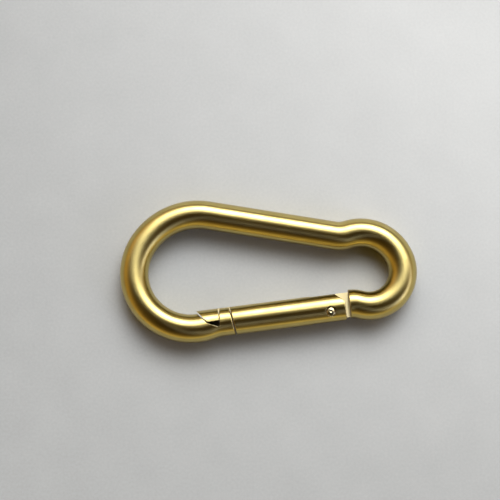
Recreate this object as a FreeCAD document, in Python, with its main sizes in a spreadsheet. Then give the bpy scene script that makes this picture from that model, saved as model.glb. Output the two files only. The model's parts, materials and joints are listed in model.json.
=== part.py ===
import FreeCAD, Part
import math
import os
import Sketcher

# A brass snap-hook carabiner: a bent rod body with a large loop and a small loop, closed by a
# spring-loaded gate. Every piece is drawn in one drawing frame whose X axis is the axis of the
# closed gate, from the seam at the nose (X = 0) towards the hinge, with +Y into the hook. One
# placement then lays the hook flat, with the lowest line of the rod on Z = 0.

DIMENSIONS = {
    # rod and the gate line
    "rod_radius": 3.0,
    "gate_lean": 6.25,
    # bends of the body, in order from the nose: straight runs, bend radii and bend angles
    "nose_run": 3.1,
    "sway_radius": 8.0,
    "sway_turn": 14.2,
    "toe_radius": 12.05,
    "toe_turn": 69.8,
    "side_radius": 11.3,
    "side_turn": 72.9,
    "top_radius": 13.6,
    "top_turn": 67.96,
    "bar_run": 26.8,
    "neck_radius": 6.3,
    "neck_turn": 26.85,
    "crown_radius": 8.85,
    "crown_turn": 88.9,
    "eye_radius": 7.1,
    "eye_turn": 124.85,
    "stub_radius": 4.65,
    "stub_turn": 23.36,
    "stub_run": 0.3,
    # nose seam, notch and collar slot
    "nose_lead": 0.6,
    "seam_gap": 0.2,
    "seam_slant": 7.4,
    "collar_run": 2.45,
    "notch_depth": 0.95,
    "notch_corner": 0.25,
    "notch_bottom": 0.5,
    "notch_rise": 3.1,
    "notch_shelf": 0.1,
    "notch_reach": 8.5,
    "slot_floor": 0.25,
    "slot_width": 2.0,
    "slot_overrun": 0.5,
    # latch at the gate's nose end
    "neck_low": 0.4,
    "neck_width": 1.8,
    "head_start": 2.85,
    "head_tip": 7.25,
    "tip_thickness": 0.2,
    "belly_along": 5.2,
    "belly_low": 0.3,
    "room_depth": 0.5,
    # hinge
    "pin_along": 20.5,
    "pin_offset": 0.75,
    "pin_radius": 0.9,
    "pin_play": 0.05,
    "rivet_head_radius": 0.95,
    "rivet_top": 2.72,
    "recess_radius": 1.1,
    "recess_floor": 2.1,
    "tongue_radius": 2.8,
    "tongue_low": 2.4,
    "tongue_width": 1.9,
    "tongue_root": 1.2,
    "fork_width": 2.1,
    "fork_depth": 4.0,
    "gate_end": 3.14,
    "ear_cut_along": 2.1,
    "ear_cut_across": 2.0,
    "shoulder": 4.04,
    # broken edges: the seam and hinge rims, and the finer rims of the notch
    "rim_radius": 0.18,
    "fine_rim_radius": 0.08,
    # bore, plunger and return spring
    "bore_radius": 1.45,
    "bore_floor": 6.2,
    "plunger_radius": 1.4,
    "plunger_head": 2.2,
    "plunger_nose": 0.3,
    "plunger_gap": 0.06,
    "stem_radius": 0.75,
    "stem_length": 2.5,
    "wire_radius": 0.2,
    "coil_radius": 1.05,
    "coil_pitch": 0.85,
    "coil_gap": 0.05,
}

SKETCH_REACH = 4.0          # how far cutting outlines reach to each side of the gate's axis
OVERRUN = 1.0               # how far they run on past the end of what they cut
ON_SURFACE = 0.02           # how near the rod's surface an edge lies to count as one of its rims
NEAR = 0.1                  # how near to a stated place along the gate's axis an edge lies

doc = FreeCAD.newDocument("carabiner")
dims = doc.addObject("Spreadsheet::Sheet", "dims")
for row, (name, value) in enumerate(DIMENSIONS.items(), start=1):
    dims.set(f"A{row}", name)
    dims.set(f"B{row}", str(value))
    dims.setAlias(f"B{row}", name)
doc.recompute()


def size(formula):
    """Value of a formula over the sheet, in millimetres or degrees."""
    value = dims.evalExpression(formula)
    return float(getattr(value, "Value", value))


def new_body(name):
    body = doc.addObject("PartDesign::Body", name)
    body.Label = name
    return body


def plane_of(body, role):
    return next(item for item in body.Origin.OriginFeatures if item.Role == role)


def new_sketch(body, name, role="XY_Plane", height=None):
    """Sketch on one of the body's origin planes, raised along its normal by a formula."""
    sketch = body.newObject("Sketcher::SketchObject", name)
    sketch.AttachmentSupport = [(plane_of(body, role), "")]
    sketch.MapMode = "FlatFace"
    if height:
        sketch.setExpression("AttachmentOffset.Base.z", height)
    return sketch


def bind(sketch, constraint, formula):
    """Add a constraint whose value follows a formula over the sheet."""
    index = sketch.addConstraint(constraint)
    sketch.setExpression(f"Constraints[{index}]", formula)


def add_circle(sketch, radius, along="0", across="0"):
    centre = FreeCAD.Vector(size(along), size(across), 0)
    circle = sketch.addGeometry(Part.Circle(centre, FreeCAD.Vector(0, 0, 1), size(radius)))
    bind(sketch, Sketcher.Constraint("Radius", circle, size(radius)), radius)
    bind(sketch, Sketcher.Constraint("DistanceX", -1, 1, circle, 3, centre.x), along)
    bind(sketch, Sketcher.Constraint("DistanceY", -1, 1, circle, 3, centre.y), across)


def add_outline(sketch, corners):
    """Closed outline of straight edges through corners, each a pair of formulas."""
    points = [FreeCAD.Vector(size(along), size(across), 0) for along, across in corners]
    edges = []
    for start, end in zip(points, points[1:] + points[:1]):
        edges.append(sketch.addGeometry(Part.LineSegment(start, end)))
    for edge, after in zip(edges, edges[1:] + edges[:1]):
        sketch.addConstraint(Sketcher.Constraint("Coincident", edge, 2, after, 1))
    for edge, point, (along, across) in zip(edges, points, corners):
        bind(sketch, Sketcher.Constraint("DistanceX", -1, 1, edge, 1, point.x), along)
        bind(sketch, Sketcher.Constraint("DistanceY", -1, 1, edge, 1, point.y), across)


def add_pocket(body, name, sketch, length=None, outward=False):
    """Pocket through everything, or of a given length; centred on the sketch unless outward."""
    pocket = body.newObject("PartDesign::Pocket", name)
    pocket.Profile = sketch
    if length:
        pocket.setExpression("Length", length)
    else:
        pocket.Type = "ThroughAll"
    pocket.Midplane = not outward
    pocket.Reversed = outward
    return pocket


def slanted(side, across):
    """Formula for X on one face of the seam (side -1 nose, +1 gate) at a height across it."""
    return f"{side} * dims.seam_gap / 2 - ({across}) * tan(dims.seam_slant * 1 deg)"


def add_rounding(body, name, radius, wanted):
    """Fillet on the edges of the body's latest shape that a test accepts by their points."""
    base = body.Tip
    names = []
    for number, edge in enumerate(base.Shape.Edges, start=1):
        if wanted(edge.discretize(9)):
            names.append(f"Edge{number}")
    rounding = body.newObject("PartDesign::Fillet", name)
    rounding.Base = (base, names)
    rounding.setExpression("Radius", radius)
    doc.recompute()


def on_straight_rod(points):
    """Whether points lie on the surface of the straight rod about the gate's axis."""
    rod = size("dims.rod_radius")
    return all(abs(math.hypot(point.y, point.z) - rod) < ON_SURFACE for point in points)


def between(points, low, high):
    return all(size(low) < point.x < size(high) for point in points)


def climbs(points):
    """Whether an edge rises or falls by more than half the rod's radius, all on one flank."""
    heights = [abs(point.z) for point in points]
    one_flank = min(heights) > size("dims.slot_width / 2") - ON_SURFACE
    return one_flank and max(heights) - min(heights) > size("dims.rod_radius / 2")


class RodPath:
    """Straight runs and tangent bends drawn one after another, as a wire bender makes them."""

    def __init__(self, sketch, along, heading):
        self.sketch = sketch
        self.point = FreeCAD.Vector(size(along), 0, 0)
        self.heading = heading
        self.last = None
        self.start = along

    def place(self, geometry, begin, end, finish):
        index = self.sketch.addGeometry(geometry)
        if self.last is None:
            from_origin = Sketcher.Constraint("DistanceX", -1, 1, index, begin, self.point.x)
            bind(self.sketch, from_origin, self.start)
            self.sketch.addConstraint(Sketcher.Constraint("PointOnObject", index, begin, -1))
            self.sketch.addConstraint(Sketcher.Constraint("Horizontal", index))
        else:
            before, before_end = self.last
            joined = Sketcher.Constraint("Tangent", before, before_end, index, begin)
            self.sketch.addConstraint(joined)
        self.last = (index, end)
        self.point = finish
        return index

    def run(self, length):
        step = FreeCAD.Vector(math.cos(self.heading), math.sin(self.heading), 0)
        finish = self.point + step * size(length)
        index = self.place(Part.LineSegment(self.point, finish), 1, 2, finish)
        bind(self.sketch, Sketcher.Constraint("Distance", index, size(length)), length)

    def bend(self, radius, turn, side):
        """Bend to the left (side +1) or to the right (side -1) of the way the rod runs."""
        reach = size(radius)
        angle = math.radians(size(turn))
        across = FreeCAD.Vector(-math.sin(self.heading), math.cos(self.heading), 0) * side
        centre = self.point + across * reach
        begin = self.heading - side * math.pi / 2
        end = begin + side * angle
        finish = centre + FreeCAD.Vector(math.cos(end), math.sin(end), 0) * reach
        circle = Part.Circle(centre, FreeCAD.Vector(0, 0, 1), reach)
        low, high = (begin, end) if side > 0 else (end, begin)
        entry, leave = (1, 2) if side > 0 else (2, 1)
        index = self.place(Part.ArcOfCircle(circle, low, high), entry, leave, finish)
        bind(self.sketch, Sketcher.Constraint("Radius", index, reach), radius)
        bind(self.sketch, Sketcher.Constraint("Angle", index, angle), f"{turn} * 1 deg")
        self.heading += side * angle


def make_hook_body():
    body = new_body("hook_body")
    spine = new_sketch(body, "rod_path")
    path = RodPath(spine, "dims.nose_lead", math.pi)
    path.run("dims.nose_run")
    path.bend("dims.sway_radius", "dims.sway_turn", 1)
    path.bend("dims.toe_radius", "dims.toe_turn", -1)
    path.bend("dims.side_radius", "dims.side_turn", -1)
    path.bend("dims.top_radius", "dims.top_turn", -1)
    path.run("dims.bar_run")
    path.bend("dims.neck_radius", "dims.neck_turn", 1)
    path.bend("dims.crown_radius", "dims.crown_turn", -1)
    path.bend("dims.eye_radius", "dims.eye_turn", -1)
    path.bend("dims.stub_radius", "dims.stub_turn", 1)
    path.run("dims.stub_run")
    profile = new_sketch(body, "rod_section", "YZ_Plane", "dims.nose_lead")
    add_circle(profile, "dims.rod_radius")
    doc.recompute()
    rod = body.newObject("PartDesign::AdditivePipe", "bent_rod")
    rod.Profile = profile
    rod.Spine = (spine, [f"Edge{number + 1}" for number in range(spine.GeometryCount)])
    doc.recompute()

    # the hinge end is milled on both sides to a flat tongue with a rounded end
    shoulder = "dims.pin_along + dims.shoulder"
    outline = new_sketch(body, "tongue_outline")
    add_outline(outline, [
        (f"{shoulder} + dims.tongue_root", "-dims.tongue_low"),
        (f"{shoulder} + dims.tongue_root", "dims.tongue_radius"),
        ("dims.pin_along", "dims.tongue_radius"),
        ("dims.pin_along", "-dims.tongue_low"),
    ])
    tongue = body.newObject("PartDesign::Pad", "tongue")
    tongue.Profile = outline
    tongue.setExpression("Length", "dims.tongue_width")
    tongue.Midplane = True
    doc.recompute()
    round_sketch = new_sketch(body, "tongue_end_outline")
    add_circle(round_sketch, "dims.tongue_radius", "dims.pin_along")
    tongue_end = body.newObject("PartDesign::Pad", "tongue_end")
    tongue_end.Profile = round_sketch
    tongue_end.setExpression("Length", "dims.tongue_width")
    tongue_end.Midplane = True
    doc.recompute()
    hole_sketch = new_sketch(body, "pin_hole_outline")
    add_circle(hole_sketch, "dims.pin_radius + dims.pin_play", "dims.pin_along", "-dims.pin_offset")
    add_pocket(body, "pin_hole", hole_sketch)

    # the nose is cut on the slant at the seam, notched right across, and slotted for the latch
    far = str(SKETCH_REACH)
    seam = new_sketch(body, "seam_outline")
    add_outline(seam, [
        (slanted(-1, f"-{far}"), f"-{far}"),
        (slanted(-1, far), far),
        (f"dims.nose_lead + {OVERRUN}", far),
        (f"dims.nose_lead + {OVERRUN}", f"-{far}"),
    ])
    add_pocket(body, "seam_face", seam)
    notch = new_sketch(body, "notch_outline")
    add_outline(notch, [
        ("-dims.collar_run", far),
        ("-dims.collar_run - dims.notch_corner", "-dims.notch_depth + dims.notch_corner"),
        ("-dims.collar_run - dims.notch_corner - dims.notch_bottom", "-dims.notch_depth"),
        ("-dims.notch_reach + dims.notch_rise", "dims.notch_shelf"),
        ("-dims.notch_reach", far),
    ])
    add_pocket(body, "notch", notch)
    slot = new_sketch(body, "collar_slot_outline")
    add_outline(slot, [
        ("-dims.collar_run - dims.slot_overrun", "dims.slot_floor"),
        (f"{OVERRUN}", "dims.slot_floor"),
        (f"{OVERRUN}", far),
        ("-dims.collar_run - dims.slot_overrun", far),
    ])
    add_pocket(body, "collar_slot", slot, "dims.slot_width")
    doc.recompute()

    # the rims of the nose and of the hinge shoulder are broken, and the notch's a little less
    add_rounding(body, "nose_rim", "dims.rim_radius",
                 lambda points: on_straight_rod(points)
                 and between(points, "-dims.rod_radius / 2", "dims.nose_lead"))
    add_rounding(body, "shoulder_rim", "dims.rim_radius",
                 lambda points: between(points, f"{shoulder} - {NEAR}", f"{shoulder} + {NEAR}")
                 and max(point.z for point in points) > size("dims.rod_radius / 2"))
    add_rounding(body, "notch_rims", "dims.fine_rim_radius",
                 lambda points: climbs(points)
                 and between(points, "-dims.notch_reach", "-dims.collar_run"))
    return body, spine


def make_gate():
    body = new_body("gate")
    far = str(SKETCH_REACH)
    end = "dims.pin_along + dims.gate_end"
    section = new_sketch(body, "gate_section", "YZ_Plane", "-dims.head_tip")
    add_circle(section, "dims.rod_radius")
    rod = body.newObject("PartDesign::Pad", "gate_rod")
    rod.Profile = section
    rod.setExpression("Length", f"dims.head_tip + {end}")
    doc.recompute()

    # the latch: a slanted seam face, a neck, and a wedge-shaped head
    under = new_sketch(body, "latch_underside")
    add_outline(under, [
        (slanted(1, f"-{far}"), f"-{far}"),
        (slanted(1, "dims.neck_low"), "dims.neck_low"),
        ("-dims.head_start", "dims.neck_low"),
        ("-dims.belly_along", "dims.belly_low"),
        ("-dims.head_tip", "dims.rod_radius - dims.tip_thickness"),
        (f"-dims.head_tip - {OVERRUN}", "dims.rod_radius - dims.tip_thickness"),
        (f"-dims.head_tip - {OVERRUN}", f"-{far}"),
    ])
    add_pocket(body, "latch_under_cut", under)
    doc.recompute()
    flank = new_sketch(body, "collar_room_outline", height="dims.neck_width / 2")
    add_outline(flank, [
        ("-dims.head_start", "-dims.room_depth"),
        (slanted(1, "-dims.room_depth"), "-dims.room_depth"),
        (slanted(1, far), far),
        ("-dims.head_start", far),
    ])
    collar_room = add_pocket(body, "collar_room", flank, outward=True)
    doc.recompute()

    # the rivet's recess, the same on both ears as the room beside the neck
    recess_sketch = new_sketch(body, "recess_outline", height="dims.recess_floor")
    add_circle(recess_sketch, "dims.recess_radius", "dims.pin_along", "-dims.pin_offset")
    recess = add_pocket(body, "rivet_recess", recess_sketch, outward=True)
    doc.recompute()
    mirrored = body.newObject("PartDesign::Mirrored", "both_sides")
    mirrored.Originals = [collar_room, recess]
    mirrored.MirrorPlane = (plane_of(body, "XY_Plane"), [""])
    body.Tip = mirrored
    doc.recompute()

    # the hinge end: a bore along the axis, a fork slot, a corner cut and the pin hole
    bore_sketch = new_sketch(body, "bore_outline", "YZ_Plane", end)
    add_circle(bore_sketch, "dims.bore_radius")
    bore = body.newObject("PartDesign::Pocket", "spring_bore")
    bore.Profile = bore_sketch
    bore.setExpression("Length", f"{end} - dims.bore_floor")
    doc.recompute()
    fork = new_sketch(body, "fork_outline")
    add_outline(fork, [
        ("dims.pin_along - dims.fork_depth", f"-{far}"),
        (f"{end} + {OVERRUN}", f"-{far}"),
        (f"{end} + {OVERRUN}", far),
        ("dims.pin_along - dims.fork_depth", far),
    ])
    add_pocket(body, "fork_slot", fork, "dims.fork_width")
    corner = new_sketch(body, "ear_corner_outline")
    add_outline(corner, [
        (f"{end} + dims.ear_cut_along", "dims.rod_radius - 2 * dims.ear_cut_across"),
        (f"{end} - 2 * dims.ear_cut_along", "dims.rod_radius + dims.ear_cut_across"),
        (f"{end} + dims.ear_cut_along", "dims.rod_radius + dims.ear_cut_across"),
    ])
    add_pocket(body, "ear_corner", corner)
    hole_sketch = new_sketch(body, "ear_hole_outline")
    add_circle(hole_sketch, "dims.pin_radius", "dims.pin_along", "-dims.pin_offset")
    add_pocket(body, "ear_holes", hole_sketch)
    doc.recompute()

    # the rims of the seam face and of the two ears are broken
    add_rounding(body, "seam_rim", "dims.rim_radius",
                 lambda points: on_straight_rod(points)
                 and min(point.y for point in points) < -size("dims.rod_radius / 2")
                 and between(points, "-dims.rod_radius / 2", "dims.rod_radius / 2"))
    add_rounding(body, "ear_rims", "dims.rim_radius",
                 lambda points: on_straight_rod(points) and climbs(points)
                 and between(points, "dims.pin_along", f"{end} + {OVERRUN}"))
    return body


def add_cylinder(name, radius, length, start, angle=90):
    """Cylinder along Z (angle 0) or along X (angle 90), from a start along its own axis."""
    cylinder = doc.addObject("Part::Cylinder", name)
    cylinder.setExpression("Radius", radius)
    cylinder.setExpression("Height", length)
    cylinder.Placement.Rotation = FreeCAD.Rotation(FreeCAD.Vector(0, 1, 0), angle)
    cylinder.setExpression("Placement.Base.x" if angle else "Placement.Base.z", start)
    return cylinder


def make_hinge_rivet():
    """Shank with a peened head at each end, all inside one sphere that domes the heads."""
    shank = add_cylinder("shank", "dims.pin_radius", "2 * dims.rivet_top", "-dims.rivet_top", 0)
    pieces = [shank]
    for name, start in (("upper_head", "dims.recess_floor"), ("lower_head", "-dims.rivet_top")):
        length = "dims.rivet_top - dims.recess_floor"
        pieces.append(add_cylinder(name, "dims.rivet_head_radius", length, start, 0))
    blank = doc.addObject("Part::MultiFuse", "rivet_blank")
    blank.Shapes = pieces
    dome = doc.addObject("Part::Sphere", "rivet_dome")
    dome.setExpression("Radius", "dims.rivet_top")
    rivet = doc.addObject("Part::Common", "hinge_rivet")
    rivet.Base = blank
    rivet.Tool = dome
    rivet.Label = "hinge_rivet"
    doc.recompute()
    return rivet


def make_plunger():
    """Push pin: a rounded-off nose against the tongue, a head in the bore, a stem in the spring."""
    head = add_cylinder("plunger_barrel", "dims.plunger_radius", "dims.plunger_head",
                        "-dims.plunger_head")
    stem = add_cylinder("plunger_stem", "dims.stem_radius", "dims.stem_length",
                        "-dims.plunger_head - dims.stem_length")
    nose = doc.addObject("Part::Cone", "plunger_nose")
    nose.setExpression("Radius1", "dims.plunger_radius")
    nose.setExpression("Radius2", "dims.plunger_radius - dims.plunger_nose")
    nose.setExpression("Height", "dims.plunger_nose")
    nose.Placement.Rotation = FreeCAD.Rotation(FreeCAD.Vector(0, 1, 0), 90)
    plunger = doc.addObject("Part::MultiFuse", "plunger")
    plunger.Shapes = [stem, head, nose]
    plunger.Label = "plunger"
    doc.recompute()
    return plunger


def make_return_spring(length):
    """Round-wire compression spring, wound along its own Z axis."""
    turns_height = length - 2 * size("dims.wire_radius")
    helix = doc.addObject("Part::Helix", "coil_line")
    helix.setExpression("Radius", "dims.coil_radius")
    helix.setExpression("Pitch", "dims.coil_pitch")
    helix.Height = turns_height
    wire = doc.addObject("Part::Circle", "wire_section")
    wire.setExpression("Radius", "dims.wire_radius")
    wire.Placement = FreeCAD.Placement(FreeCAD.Vector(size("dims.coil_radius"), 0, 0),
                                       FreeCAD.Rotation(FreeCAD.Vector(1, 0, 0), 90))
    spring = doc.addObject("Part::Sweep", "return_spring")
    spring.Sections = [wire]
    spring.Spine = (helix, [])
    spring.Solid = True
    spring.Frenet = True
    spring.Label = "return_spring"
    doc.recompute()
    return spring


hook_body, rod_path = make_hook_body()
gate = make_gate()
hinge_rivet = make_hinge_rivet()
plunger = make_plunger()

# the plunger's nose stands just off the tongue's end, and the spring fills the bore behind it
plunger_shoulder = size("dims.pin_along - dims.tongue_radius - dims.plunger_gap - dims.plunger_nose")
spring_start = size("dims.bore_floor + dims.coil_gap")
spring_end = plunger_shoulder - size("dims.plunger_head + dims.coil_gap")
return_spring = make_return_spring(spring_end - spring_start)

# lay the hook flat: lean the gate line, centre the outline on the origin, rest the rod on Z = 0
lean = FreeCAD.Rotation(FreeCAD.Vector(0, 0, 1), size("dims.gate_lean"))
outline_box = rod_path.Shape.copy()
outline_box.Placement = FreeCAD.Placement(FreeCAD.Vector(), lean)
middle = outline_box.optimalBoundingBox().Center
lay_flat = FreeCAD.Placement(FreeCAD.Vector(-middle.x, -middle.y, size("dims.rod_radius")), lean)


def along_gate(along, across=0.0, turn=FreeCAD.Rotation()):
    """Placement of a piece at a point of the drawing frame."""
    return lay_flat.multiply(FreeCAD.Placement(FreeCAD.Vector(along, across, 0), turn))


hook_body.Placement = lay_flat
gate.Placement = lay_flat
hinge_rivet.Placement = along_gate(size("dims.pin_along"), -size("dims.pin_offset"))
plunger.Placement = along_gate(plunger_shoulder)
return_spring.Placement = along_gate(spring_start + size("dims.wire_radius"),
                                     turn=FreeCAD.Rotation(FreeCAD.Vector(0, 1, 0), 90))
doc.recompute()

subparts = [hook_body, gate, hinge_rivet, plunger, return_spring]
for item in doc.Objects:
    if {"Invalid", "Error"} & set(item.State):
        raise RuntimeError(f"{item.Name} is {item.State}")
for item in subparts:
    if item.Shape.isNull() or not item.Shape.isValid():
        raise RuntimeError(f"{item.Label} has no valid shape")

os.makedirs("parts", exist_ok=True)
for item in subparts:
    item.Shape.exportStep(f"parts/{item.Label}.step")
    box = item.Shape.BoundBox
    print(f"{item.Label}: {len(item.Shape.Solids)} solid, {item.Shape.Volume:.1f} mm3, "
          f"X {box.XMin:.2f} to {box.XMax:.2f}, Y {box.YMin:.2f} to {box.YMax:.2f}, "
          f"Z {box.ZMin:.2f} to {box.ZMax:.2f}")
pin = hinge_rivet.Placement.Base
print(f"pin at {pin.x:.4f}, {pin.y:.4f}, {pin.z:.4f}")
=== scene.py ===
import bpy
import json
import math
import random
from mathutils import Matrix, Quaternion, Vector


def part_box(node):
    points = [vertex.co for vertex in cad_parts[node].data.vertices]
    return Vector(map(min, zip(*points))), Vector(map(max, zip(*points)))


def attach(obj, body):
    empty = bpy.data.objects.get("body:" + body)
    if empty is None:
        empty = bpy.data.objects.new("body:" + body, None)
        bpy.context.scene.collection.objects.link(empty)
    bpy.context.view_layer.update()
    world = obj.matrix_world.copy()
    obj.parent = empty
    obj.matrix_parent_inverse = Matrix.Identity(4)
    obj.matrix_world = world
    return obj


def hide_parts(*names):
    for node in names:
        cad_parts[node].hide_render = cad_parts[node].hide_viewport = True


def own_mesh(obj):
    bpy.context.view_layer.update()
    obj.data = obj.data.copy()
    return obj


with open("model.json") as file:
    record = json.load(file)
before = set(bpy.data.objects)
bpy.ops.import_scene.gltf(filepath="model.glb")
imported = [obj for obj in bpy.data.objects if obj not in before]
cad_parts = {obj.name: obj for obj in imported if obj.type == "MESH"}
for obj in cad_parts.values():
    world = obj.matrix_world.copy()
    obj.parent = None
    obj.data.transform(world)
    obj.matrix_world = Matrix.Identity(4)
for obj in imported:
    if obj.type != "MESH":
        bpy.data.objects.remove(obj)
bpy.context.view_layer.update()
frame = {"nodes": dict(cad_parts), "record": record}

MM = 0.001

# The gate's own axis, from the nose to the hinge, and how far the plunger slides along it.
slide = next(joint for joint in frame["record"]["behaviour"]["joints"] if joint["name"] == "plunger_slide")
gate_axis = -Vector(slide["axis"]).normalized()

ROD_RADIUS = 3 * MM
PLUNGER_LENGTH = 5.0 * MM
TURNED_SEGMENTS = 48        # facets round a turned piece
CORNER_STEPS = 4            # facets on a rounded corner of its profile

# The camera looks straight down but for a few degrees, from a little way off.
CAMERA_DISTANCE = 0.35
CAMERA_TILT = 4.0           # degrees that the camera leans towards the near edge of the table
CAMERA_ROLL = -1.1          # degrees about the line of sight
VIEW_WIDTH = 104.8 * MM     # what the frame takes in at the height of the rod's axis
SENSOR_WIDTH = 36
SHIFT_RIGHT = -0.0369       # shares of the view width that the object stands off centre
SHIFT_UP = 0.0403

# Linear colours
BRASS = (0.54, 0.425, 0.138, 1)
BRASS_DULL = (0.45, 0.335, 0.095, 1)
# bare brass, for worn edges and the peened pin; also the painted highlight on level cut faces
BRASS_BARE = (0.78, 0.66, 0.34, 1)
# painted shade: brown for steep cut faces
SHADED_CUT_BRASS = (0.30, 0.19, 0.09, 1)
# dark tarnish for the specks, and also the painted shade in corners and between parts
DARK_TARNISH_AND_SHADE = (0.10, 0.062, 0.025, 1)
STEEL_BRIGHT = (0.42, 0.42, 0.43, 1)
STEEL_OILED = (0.22, 0.20, 0.18, 1)
TABLE_COLOUR = (0.435, 0.435, 0.370)

# Sizes of the marks on the brass
MOTTLE = 2.6 * MM
GRAIN = 0.16 * MM
SCRATCH = 0.9 * MM
SCRATCH_STRETCH = (1.0, 14.0, 3.0)
SPECK = 0.35 * MM
WORN_EDGE = 0.10 * MM
# reach of the painted shade in corners and between parts
CORNER_SHADE_REACH = 0.9 * MM
FINE_RELIEF = 0.01 * MM

TABLE_SIZE = 2.0
TABLE_GRAIN = 0.55 * MM
TABLE_CLOUD = 9 * MM
TABLE_RELIEF = 0.05 * MM
TABLE_DARKEST = -0.25       # limits of the painted light falloff, a slow change of brightness across the table
TABLE_LIGHTEST = 0.30

# Soft patches of light in the room
WINDOWS = {
    # azimuth, elevation (degrees), half width, half height (radians), radiance
    "main": (74, 41, 0.44, 0.26, (16.0, 16.5, 19.5)),
    "high": (66, 62, 0.32, 0.18, (3.2, 3.4, 4.2)),
    "side": (334, 22, 0.15, 0.24, (7.5, 8.2, 12.5)),
    "west": (165, 22, 0.80, 0.40, (0.85, 0.54, 0.15)),
    "south_west": (225, 10, 0.50, 0.28, (0.50, 0.32, 0.08)),
    "south": (290, 0, 0.90, 0.24, (1.15, 0.98, 0.48)),
    "east": (5, 25, 0.35, 0.40, (0.65, 0.45, 0.18)),
}
AMBIENT = (0.015, 0.010, 0.006)
DARK_CEILING = (275, 68, 0.95, 0.62)    # a dark patch, placed as the windows are
CEILING_HIDES = 0.98                    # share of the light that it takes away in its middle


def heading(azimuth, elevation):
    """Unit vector towards a place in the room, in degrees from +X and above the table."""
    across = math.radians(azimuth)
    above = math.radians(elevation)
    return Vector((math.cos(above) * math.cos(across), math.cos(above) * math.sin(across), math.sin(above)))


class Nodes:
    """Shorthand for building one node tree."""

    def __init__(self, tree):
        self.tree = tree

    def feed(self, node, inputs):
        """Link each input that is given a socket, and set each one that is given a value."""
        for socket, value in inputs.items():
            if isinstance(value, bpy.types.NodeSocket):
                self.tree.links.new(value, node.inputs[socket])
            else:
                node.inputs[socket].default_value = value

    def add(self, kind, inputs=None, **settings):
        node = self.tree.nodes.new(kind)
        for name, value in settings.items():
            setattr(node, name, value)
        self.feed(node, inputs or {})
        return node

    def maths(self, operation, *values):
        return self.add("ShaderNodeMath", dict(enumerate(values)), operation=operation).outputs[0]

    def pile(self, base, layers):
        """A value, plus each layer times its share."""
        for layer, share in layers:
            base = self.maths("MULTIPLY_ADD", layer, share, base)
        return base

    def ramp(self, value, low, high):
        """From 0 at the first value to 1 at the second: smooth if they rise, straight if they fall."""
        limits = {"Value": value, "From Min": low, "From Max": high}
        kind = "SMOOTHSTEP" if low < high else "LINEAR"
        return self.add("ShaderNodeMapRange", limits, interpolation_type=kind).outputs[0]

    def mix(self, share, first, second):
        blend = self.add("ShaderNodeMix", {0: share, 6: first, 7: second}, data_type="RGBA")
        return blend.outputs[2]

    def vector(self, operation, *values, output=0):
        return self.add("ShaderNodeVectorMath", dict(enumerate(values)), operation=operation).outputs[output]

    def dot(self, first, second):
        return self.vector("DOT_PRODUCT", first, second, output=1)

    def scaled(self, colour, share):
        settings = {"Vector": colour, "Scale": share}
        return self.add("ShaderNodeVectorMath", settings, operation="SCALE").outputs[0]

    def upward(self, vector):
        return self.add("ShaderNodeSeparateXYZ", {0: vector}).outputs["Z"]

    def object_place(self):
        return self.add("ShaderNodeTexCoord").outputs["Object"]

    def bump(self, height, strength, distance, **onto):
        settings = {"Height": height, "Strength": strength, "Distance": distance}
        return self.add("ShaderNodeBump", settings | onto).outputs["Normal"]

    def noise(self, place, size, detail=3.0, stretch=(1, 1, 1)):
        """Noise whose features measure about the given size, in metres."""
        settings = {"Vector": self.vector("MULTIPLY", place, stretch), "Scale": 1 / size, "Detail": detail}
        return self.add("ShaderNodeTexNoise", settings).outputs["Fac"]


def new_material(name):
    material = bpy.data.materials.new(name)
    material.use_nodes = True
    nodes = Nodes(material.node_tree)
    return material, nodes, material.node_tree.nodes["Principled BSDF"]


def rod_tangent(nodes, facing):
    """Direction along the rod, level and square to the normal; along Y where the normal points up."""
    along = nodes.vector("CROSS_PRODUCT", facing, (0, 0, 1))
    return nodes.vector("NORMALIZE", nodes.vector("ADD", along, (0, 0.001, 0)))


def cut_faces(nodes, place, facing):
    """1 on faces cut by mill and saw, 0 where the normal is still that of the round rod."""
    rod_rise = nodes.maths("DIVIDE", nodes.maths("SUBTRACT", nodes.upward(place), ROD_RADIUS), ROD_RADIUS)
    off = nodes.maths("ABSOLUTE", nodes.maths("SUBTRACT", nodes.upward(facing), rod_rise))
    return nodes.ramp(off, 0.06, 0.14)


def worn_edges(nodes, facing):
    """Where the surface turns away from its own normal close by, and the normal smoothed over it."""
    rounded = nodes.add("ShaderNodeBevel", {"Radius": WORN_EDGE}, samples=6).outputs["Normal"]
    turned = nodes.maths("SUBTRACT", 1.0, nodes.dot(rounded, facing))
    return nodes.ramp(turned, 0.01, 0.12), rounded


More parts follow.
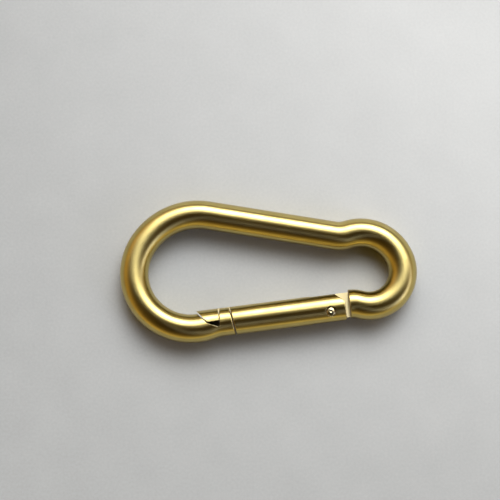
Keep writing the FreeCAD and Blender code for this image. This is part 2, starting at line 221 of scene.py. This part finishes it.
def brass(name, colour, tarnish, roughness, anisotropy, cut=True):
    """Brass, mottled and finely scratched, with painted shade in corners and between parts, and brighter on
    worn edges;
    cut says that it is on the rod, whose steep cut faces get a painted brown shade and whose level ones a
    painted highlight."""
    material, nodes, shader = new_material(name)
    place = nodes.object_place()
    facing = nodes.add("ShaderNodeNewGeometry").outputs["Normal"]
    mottle = nodes.ramp(nodes.noise(place, MOTTLE, 4.0), 0.35, 0.68)
    grain = nodes.noise(place, GRAIN, 2.0)
    scratches = nodes.ramp(nodes.noise(place, SCRATCH, 5.0, SCRATCH_STRETCH), 0.60, 0.70)
    specks = nodes.ramp(nodes.noise(place, SPECK, 1.0), 0.70, 0.76)
    wear, rounded = worn_edges(nodes, facing)
    # painted shade: corners and gaps between parts, found by ambient occlusion
    corners = nodes.add("ShaderNodeAmbientOcclusion", {"Distance": CORNER_SHADE_REACH}, samples=8).outputs["AO"]
    painted_corner_shade = nodes.ramp(corners, 0.55, 0.05)

    metallic = 1.0
    # where each tint lies, how well it covers, and the tint
    tints = [(mottle, 0.35, tarnish), (specks, 0.2, DARK_TARNISH_AND_SHADE)]
    # painted shade in corners and between parts, then bare brass on worn edges
    tints += [(painted_corner_shade, 0.85, DARK_TARNISH_AND_SHADE), (wear, 0.6, BRASS_BARE)]
    # where each mark lies, and what it adds to the roughness
    marks = [(mottle, 0.04), (scratches, 0.05), (grain, 0.03)]
    if cut:
        sawn = cut_faces(nodes, place, facing)
        # painted light by facing: level cut faces painted bright as lit, steep ones painted brown as shade
        level = nodes.ramp(nodes.maths("ABSOLUTE", nodes.upward(facing)), 0.7, 0.9)
        shaded_steep_cut = nodes.maths("MULTIPLY", sawn, nodes.maths("SUBTRACT", 1.0, level))
        lit_level_cut = nodes.maths("MULTIPLY", sawn, level)
        tints += [(shaded_steep_cut, 0.8, SHADED_CUT_BRASS), (lit_level_cut, 0.8, BRASS_BARE)]
        marks.append((sawn, 0.24))
        # steep cut faces made less metallic, as part of their painted shade
        metallic = nodes.maths("MULTIPLY_ADD", shaded_steep_cut, -0.5, 1.0)
    shade = colour
    for where, cover, tint in tints:
        shade = nodes.mix(nodes.maths("MULTIPLY", where, cover), shade, tint)
    relief = nodes.pile(grain, [(mottle, 0.8), (scratches, 0.35)])
    nodes.feed(shader, {
        "Base Color": shade,
        "Metallic": metallic,
        "Roughness": nodes.pile(roughness, marks),
        "Anisotropic": anisotropy,
        "Tangent": rod_tangent(nodes, facing),
        "Normal": nodes.bump(relief, 0.04, FINE_RELIEF, Normal=rounded),
    })
    return material


def spring_steel():
    """Drawn steel wire with a thin film of oil."""
    material, nodes, shader = new_material("spring_wire")
    place = nodes.object_place()
    oil = nodes.ramp(nodes.noise(place, 0.6 * MM), 0.4, 0.65)
    drawn = nodes.noise(place, 0.1 * MM, 2.0)
    nodes.feed(shader, {
        "Base Color": nodes.mix(oil, STEEL_BRIGHT, STEEL_OILED),
        "Metallic": 1.0,
        "Roughness": nodes.pile(0.24, [(drawn, 0.15)]),
        "Normal": nodes.bump(drawn, 0.2, FINE_RELIEF),
    })
    return material


def smooth_mesh(name, points, faces):
    mesh = bpy.data.meshes.new(name)
    mesh.from_pydata(points, [], faces)
    mesh.update()
    for polygon in mesh.polygons:
        polygon.use_smooth = True
    piece = bpy.data.objects.new(name, mesh)
    bpy.context.scene.collection.objects.link(piece)
    return piece


def turned_piece(name, profile, base, axis, relief=None):
    """Closed solid of revolution: profile is (along, radius) in metres from one pole to the other.
    relief, if given, is how far a point moves along the axis, by where it is along and its angle."""
    side = axis.orthogonal().normalized()
    other = axis.cross(side)
    points = [base + axis * profile[0][0]]
    for along, radius in profile[1:-1]:
        for step in range(TURNED_SEGMENTS):
            angle = math.tau * step / TURNED_SEGMENTS
            out = side * math.cos(angle) + other * math.sin(angle)
            rise = relief(along, angle) if relief else 0.0
            points.append(base + axis * (along + rise) + out * radius)
    points.append(base + axis * profile[-1][0])
    rings = len(profile) - 2
    faces = []
    for step in range(TURNED_SEGMENTS):
        after = (step + 1) % TURNED_SEGMENTS
        faces.append((0, 1 + after, 1 + step))
        for ring in range(rings - 1):
            low = 1 + ring * TURNED_SEGMENTS
            high = low + TURNED_SEGMENTS
            faces.append((low + step, low + after, high + after, high + step))
        last = 1 + (rings - 1) * TURNED_SEGMENTS
        faces.append((last + step, last + after, len(points) - 1))
    return smooth_mesh(name, points, faces)


def rounded_corner(along, radius, turn_in, turn_out, bend):
    """Points of a smooth curve on a profile corner, from one heading to the other."""
    corner = Vector((along, radius))
    start = corner - Vector(turn_in) * bend
    end = corner + Vector(turn_out) * bend
    arc = []
    for step in range(CORNER_STEPS + 1):
        share = step / CORNER_STEPS
        point = start.lerp(corner, share).lerp(corner.lerp(end, share), share)
        arc.append((point.x, point.y))
    return arc


def add_rivet():
    """Pin with a spun head at each end: a low dome with a dimple where the riveting tool turned."""
    low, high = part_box("hinge_rivet")
    centre = (Vector(low) + Vector(high)) / 2
    half = (high[2] - low[2]) / 2
    head = (high[0] - low[0]) / 2
    bevel = 0.05 * MM
    shank = head - bevel
    neck = half - 0.62 * MM
    dome_edge = half - 0.22 * MM
    dome_radius = head - 0.02 * MM
    dome_steps = 8
    dimple = 0.28 * MM
    upper = [(neck, shank), (neck + bevel, head), (dome_edge - bevel, head), (dome_edge, dome_radius)]
    for step in range(1, dome_steps):
        share = step / dome_steps
        rise = (half - dome_edge) * math.sin(share * math.pi / 2)
        upper.append((dome_edge + rise, dome_radius * (1 - share) + dimple * share))
    # the dimple: depth in mm, and share of its radius
    for depth, share in ((0.0, 1.0), (0.03, 0.72), (0.07, 0.35), (0.08, 0.0)):
        upper.append((half - depth * MM, dimple * share))
    lower = [(-along, radius) for along, radius in reversed(upper)]
    ripples = 3
    ripple_height = 0.012 * MM
    chatter = random.Random(7)
    phases = [chatter.uniform(0, math.tau) for ripple in range(ripples)]

    def hammered(along, angle):
        near_head = min(1.0, max(0.0, (abs(along) - dome_edge) / (half - dome_edge)))
        waves = sum(math.sin(angle * (3 + ripple) + phase) for ripple, phase in enumerate(phases))
        return -math.copysign(ripple_height * near_head * (1 + waves / ripples), along)

    rivet = turned_piece("peened_rivet", lower + upper, centre, Vector((0, 0, 1)), relief=hammered)
    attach(rivet, "gate")
    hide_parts("hinge_rivet")
    return rivet


def along_axis(node, radius):
    """End nearer the nose, and length, of a round piece lying along the gate's axis, from its box."""
    low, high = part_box(node)
    centre = (Vector(low) + Vector(high)) / 2
    length = (high[0] - low[0] - 2 * radius * abs(gate_axis.y)) / gate_axis.x
    return centre - gate_axis * length / 2, length


def add_plunger():
    """Push pin: a thin stem inside the spring, a grooved barrel, and a blunt nose with a flared rim."""
    barrel = 1.40 * MM
    stem = 0.75 * MM
    start, _ = along_axis("plunger", stem)
    bend = 0.12 * MM
    foot = 0.05 * MM            # the stem widens by this much where it meets the barrel
    step_at = 2.5 * MM
    groove_at = 3.6 * MM
    groove = 0.10 * MM
    profile = [(0.0, 0.0)]
    profile += rounded_corner(0.0, stem, (0, 1), (1, 0), bend)
    profile += [(step_at - foot, stem), (step_at, stem + foot)]
    profile += rounded_corner(step_at, barrel, (0, 1), (1, 0), bend)
    profile += [(groove_at - 2 * groove, barrel), (groove_at - groove, barrel - groove)]
    profile += [(groove_at + groove, barrel - groove), (groove_at + 2 * groove, barrel)]
    profile += rounded_corner(PLUNGER_LENGTH, barrel - bend, (0.7, -0.7), (0, -1), 2 * bend)
    profile.append((PLUNGER_LENGTH, 0.0))
    plunger = turned_piece("turned_plunger", profile, start, gate_axis)
    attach(plunger, "plunger")
    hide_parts("plunger")
    return plunger


def add_spring():
    """Compression spring with its end coils closed and ground flat."""
    wire = 0.20 * MM
    coil = 1.05 * MM
    turns = 12.0
    closed = 1.25           # turns at each end that lie on one another
    steps_a_turn = 28
    around = 10
    ground_off = 0.35 * wire
    start, length = along_axis("return_spring", coil + wire)
    side = gate_axis.orthogonal().normalized()
    other = gate_axis.cross(side)
    open_turns = turns - 2 * closed
    open_rise = length - 2 * wire - 2 * closed * 2 * wire
    steps = int(turns * steps_a_turn)
    points = []
    for step in range(steps + 1):
        turn = step / steps_a_turn
        low_part = min(turn, closed) * 2 * wire
        middle = min(max(turn - closed, 0.0), open_turns) / open_turns * open_rise
        high_part = max(turn - (turns - closed), 0.0) * 2 * wire
        angle = math.tau * turn
        out = side * math.cos(angle) + other * math.sin(angle)
        centre = start + gate_axis * (wire + low_part + middle + high_part) + out * coil
        for corner in range(around):
            angle = math.tau * corner / around
            point = centre + out * math.cos(angle) * wire + gate_axis * (math.sin(angle) * wire)
            reach = (point - start).dot(gate_axis)
            ground = min(max(reach, ground_off), length - ground_off)
            points.append(point + gate_axis * (ground - reach))
    faces = []
    for step in range(steps):
        for corner in range(around):
            after = (corner + 1) % around
            low = step * around
            faces.append((low + corner, low + around + corner, low + around + after, low + after))
    faces.append(tuple(range(around)))
    faces.append(tuple(reversed(range(steps * around, (steps + 1) * around))))
    spring = smooth_mesh("coiled_return_spring", points, faces)
    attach(spring, "gate")
    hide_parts("return_spring")
    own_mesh(spring)
    return spring


def dress(piece, material):
    piece.data.materials.clear()
    piece.data.materials.append(material)


def table_top():
    """Pale, faintly grained and clouded, with painted light falloff: a slow change of brightness across the
    table.
    """
    material, nodes, shader = new_material("table_top")
    place = nodes.object_place()
    grain = nodes.noise(place, TABLE_GRAIN, 3.0)
    clouds = nodes.noise(place, TABLE_CLOUD, 2.0)
    flat = nodes.add("ShaderNodeSeparateXYZ", {0: place}).outputs
    # painted light falloff: the table is brighter towards +X and +Y, as near a lamp
    corner = nodes.maths("MULTIPLY", flat["X"], flat["Y"])
    painted_light_falloff = nodes.pile(0.0, [(corner, 35.0), (flat["X"], 2.5), (flat["Y"], 2.95)])
    painted_light_falloff = nodes.maths("MINIMUM", nodes.maths("MAXIMUM", painted_light_falloff, TABLE_DARKEST), TABLE_LIGHTEST)
    level = nodes.maths("ADD", nodes.pile(0.87, [(clouds, 0.10), (grain, 0.16)]), painted_light_falloff)
    nodes.feed(shader, {
        "Base Color": nodes.scaled(TABLE_COLOUR, level),
        "Roughness": 0.55,
        "Specular IOR Level": 0.2,
        "Normal": nodes.bump(grain, 0.15, TABLE_RELIEF),
    })
    return material


def add_table():
    bpy.ops.mesh.primitive_plane_add(size=TABLE_SIZE)
    table = bpy.context.object
    table.name = "table"
    dress(table, table_top())


def soft_patch(nodes, look, azimuth, elevation, half_width, half_height):
    """1 in the middle of a soft-edged patch of the room and 0 far from it, by the direction looked in."""
    towards = heading(azimuth, elevation)
    right = towards.cross(Vector((0, 0, 1))).normalized()
    up = right.cross(towards)
    across = nodes.maths("DIVIDE", nodes.dot(look, tuple(right)), half_width)
    above = nodes.maths("DIVIDE", nodes.dot(look, tuple(up)), half_height)
    ahead = nodes.maths("GREATER_THAN", nodes.dot(look, tuple(towards)), 0.0)
    wide = nodes.maths("MULTIPLY", across, across)
    tall = nodes.maths("MULTIPLY", above, above)
    fade = nodes.maths("EXPONENT", nodes.maths("MULTIPLY", nodes.maths("ADD", wide, tall), -1.0))
    return nodes.maths("MULTIPLY", fade, ahead)


def light_room():
    """A world that is the sum of the soft patches, dimmed where the ceiling is dark."""
    world = bpy.data.worlds.new("room")
    bpy.context.scene.world = world
    world.use_nodes = True
    nodes = Nodes(world.node_tree)
    look = nodes.add("ShaderNodeTexCoord").outputs["Generated"]
    total = AMBIENT
    for *patch, radiance in WINDOWS.values():
        total = nodes.vector("ADD", total, nodes.scaled(radiance, soft_patch(nodes, look, *patch)))
    left = nodes.maths("MULTIPLY_ADD", soft_patch(nodes, look, *DARK_CEILING), -CEILING_HIDES, 1.0)
    nodes.feed(world.node_tree.nodes["Background"], {"Color": nodes.scaled(total, left)})


def add_camera():
    lens = bpy.data.cameras.new("camera")
    camera = bpy.data.objects.new("camera", lens)
    bpy.context.scene.collection.objects.link(camera)
    bpy.context.scene.camera = camera
    lens.sensor_fit = "HORIZONTAL"
    lens.sensor_width = SENSOR_WIDTH
    lens.lens = SENSOR_WIDTH * CAMERA_DISTANCE / VIEW_WIDTH
    lens.shift_x = SHIFT_RIGHT
    lens.shift_y = SHIFT_UP
    towards = heading(-90, 90 - CAMERA_TILT)
    camera.location = Vector((0, 0, ROD_RADIUS)) + towards * CAMERA_DISTANCE
    camera.rotation_mode = "QUATERNION"
    roll = Quaternion((0, 0, 1), math.radians(CAMERA_ROLL))
    camera.rotation_quaternion = (-towards).to_track_quat("-Z", "Y") @ roll


add_camera()
rod_brass = brass("tumbled_brass", BRASS, BRASS_DULL, roughness=0.275, anisotropy=0.98)
pin_brass = brass("peened_brass", BRASS_BARE, BRASS, roughness=0.22, anisotropy=0.0, cut=False)
turned_brass = brass("turned_brass", BRASS, BRASS_DULL, roughness=0.30, anisotropy=0.3, cut=False)
for name in ("hook_body", "gate"):
    dress(frame["nodes"][name], rod_brass)
dress(add_rivet(), pin_brass)
dress(add_plunger(), turned_brass)
dress(add_spring(), spring_steel())
add_table()
light_room()
bpy.context.scene.view_settings.view_transform = "Standard"
